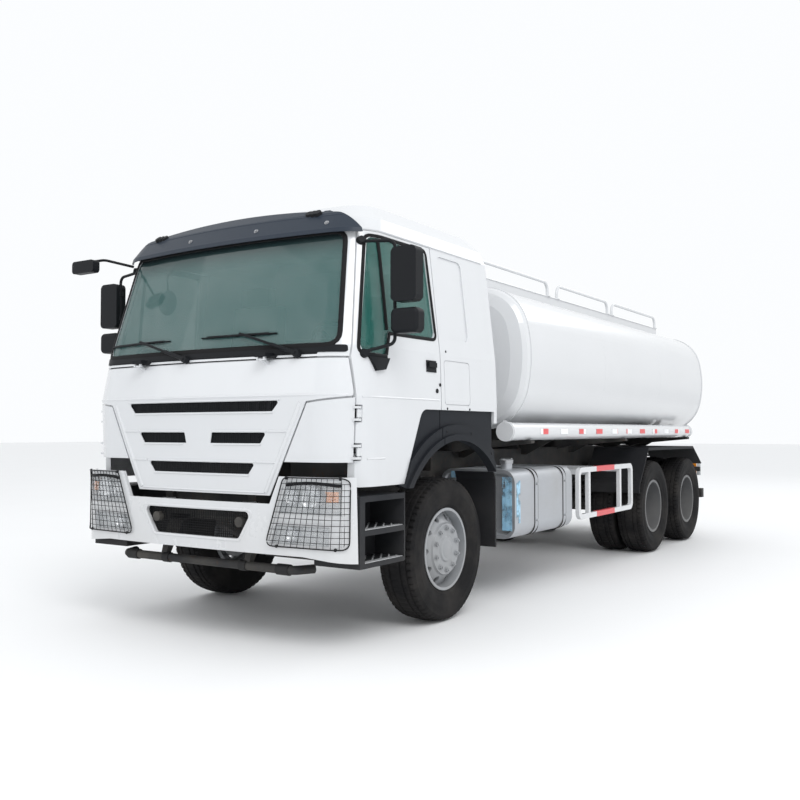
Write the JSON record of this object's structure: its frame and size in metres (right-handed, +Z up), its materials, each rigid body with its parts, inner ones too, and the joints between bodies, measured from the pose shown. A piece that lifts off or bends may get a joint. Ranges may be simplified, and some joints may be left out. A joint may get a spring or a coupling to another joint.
{
  "type": "tanker truck",
  "caption": "Three-axle rigid tanker truck: tilting cab with opening doors and grille lid, oval tank with walkway, steered front wheels and twin rear wheels.",
  "frame": {"origin": "on the ground under the middle of the truck, midway along its length", "axes": "+X to the truck's left, -Y towards its front, +Z up"},
  "size_m": [3.005, 8.362, 2.941],
  "materials": {
    "paint": "gloss",
    "tank_paint": "satin",
    "frame_paint": "satin",
    "grey_plastic": "matt",
    "black_trim": "matt",
    "visor": "satin",
    "tyre": "matt",
    "rim": "satin",
    "glass": "clear",
    "lamp": "gloss",
    "guard_wire": "gloss",
    "tank_grey": "satin",
    "engine": "matt",
    "fabric": "woven",
    "steel": "satin",
    "springs": "matt"
  },
  "bodies": {
    "chassis": {"ladder_frame": "frame_paint", "axles": "springs", "leaf_springs": "springs", "engine_and_gearbox": "engine", "radiator": "engine", "bumper": "paint", "lamps": "lamp", "lamp_guards": "guard_wire", "cab_steps": "grey_plastic", "fuel_tank": "tank_grey", "silencer": "steel", "battery_and_air_tanks": "frame_paint", "side_guards": "tank_paint", "mudguards": "grey_plastic", "rear_bumper": "frame_paint", "tank_subframe": "frame_paint", "tank_barrel": "tank_paint", "walkway": "tank_paint", "hand_rails": "tank_paint", "rear_ladder": "steel", "hose_tubes": "tank_paint"},
    "cab": {"cab_floor": "paint", "engine_tunnel": "paint", "cab_rear_wall": "paint", "cab_sides": "paint", "cab_roof": "paint", "cab_front": "paint", "windscreen": "glass", "sun_visor": "visor", "wiper_cowl": "black_trim", "arch_panels": "black_trim", "dashboard": "grey_plastic", "seats_and_bunk": "fabric", "front_mirror": "black_trim"},
    "front_lid": {"grille_lid": "paint"},
    "steering_wheel": {"steering_wheel": "black_trim"},
    "manhole_lid": {"manhole_lid": "tank_paint"},
    "door_left": {"door_panel_left": "paint", "door_glass_left": "glass", "door_arch_left": "black_trim", "door_mirrors_left": "black_trim"},
    "knuckle_left": {"knuckle_left": "springs"},
    "wheel_front_left": {"tyre_front_left": "tyre", "rim_front_left": "rim"},
    "wheels_drive_left": {"tyres_drive_left": "tyre", "rims_drive_left": "rim"},
    "wheels_tail_left": {"tyres_tail_left": "tyre", "rims_tail_left": "rim"},
    "door_right": {"door_panel_right": "paint", "door_glass_right": "glass", "door_arch_right": "black_trim", "door_mirrors_right": "black_trim"},
    "knuckle_right": {"knuckle_right": "springs"},
    "wheel_front_right": {"tyre_front_right": "tyre", "rim_front_right": "rim"},
    "wheels_drive_right": {"tyres_drive_right": "tyre", "rims_drive_right": "rim"},
    "wheels_tail_right": {"tyres_tail_right": "tyre", "rims_tail_right": "rim"}
  },
  "joints": [
    {"name": "cab_tilt", "type": "hinge", "parent": "chassis", "child": "cab", "pos_m": [0, -4.044, 1.05], "axis": [1, 0, 0], "range_deg": [0, 42]},
    {"name": "front_lid", "type": "hinge", "parent": "cab", "child": "front_lid", "pos_m": [0, -4.156, 1.842], "axis": [-1, 0, 0], "range_deg": [0, 70]},
    {"name": "door_left", "type": "hinge", "parent": "cab", "child": "door_left", "pos_m": [1.186, -3.936, 1.37], "axis": [0, 0, -1], "range_deg": [0, 70]},
    {"name": "door_right", "type": "hinge", "parent": "cab", "child": "door_right", "pos_m": [-1.186, -3.936, 1.37], "axis": [0, 0, 1], "range_deg": [0, 70]},
    {"name": "steering_wheel", "type": "hinge", "parent": "cab", "child": "steering_wheel", "pos_m": [0.7, -3.464, 1.95], "axis": [0, 0.769, 0.6392], "range_deg": [-620, 620]},
    {"name": "manhole_lid", "type": "hinge", "parent": "chassis", "child": "manhole_lid", "pos_m": [0, 1.466, 2.82], "axis": [-1, 0, 0], "range_deg": [0, 100]},
    {"name": "steer_left", "type": "hinge", "parent": "chassis", "child": "knuckle_left", "pos_m": [0.84, -2.764, 0.522], "axis": [0, 0, 1], "range_deg": [-32, 32]},
    {"name": "spin_front_left", "type": "hinge", "parent": "knuckle_left", "child": "wheel_front_left", "pos_m": [1.015, -2.764, 0.522], "axis": [1, 0, 0], "continuous": true},
    {"name": "spin_drive_left", "type": "hinge", "parent": "chassis", "child": "wheels_drive_left", "pos_m": [0.915, 1.836, 0.522], "axis": [1, 0, 0], "continuous": true},
    {"name": "spin_tail_left", "type": "hinge", "parent": "chassis", "child": "wheels_tail_left", "pos_m": [0.915, 3.186, 0.522], "axis": [1, 0, 0], "continuous": true},
    {"name": "steer_right", "type": "hinge", "parent": "chassis", "child": "knuckle_right", "pos_m": [-0.84, -2.764, 0.522], "axis": [0, 0, 1], "range_deg": [-32, 32]},
    {"name": "spin_front_right", "type": "hinge", "parent": "knuckle_right", "child": "wheel_front_right", "pos_m": [-1.015, -2.764, 0.522], "axis": [1, 0, 0], "continuous": true},
    {"name": "spin_drive_right", "type": "hinge", "parent": "chassis", "child": "wheels_drive_right", "pos_m": [-0.915, 1.836, 0.522], "axis": [1, 0, 0], "continuous": true},
    {"name": "spin_tail_right", "type": "hinge", "parent": "chassis", "child": "wheels_tail_right", "pos_m": [-0.915, 3.186, 0.522], "axis": [1, 0, 0], "continuous": true}
  ],
  "couplings": [
    {"joint": "steer_right", "follows": "steer_left", "ratio": 1},
    {"joint": "steering_wheel", "follows": "steer_left", "ratio": 18}
  ]
}
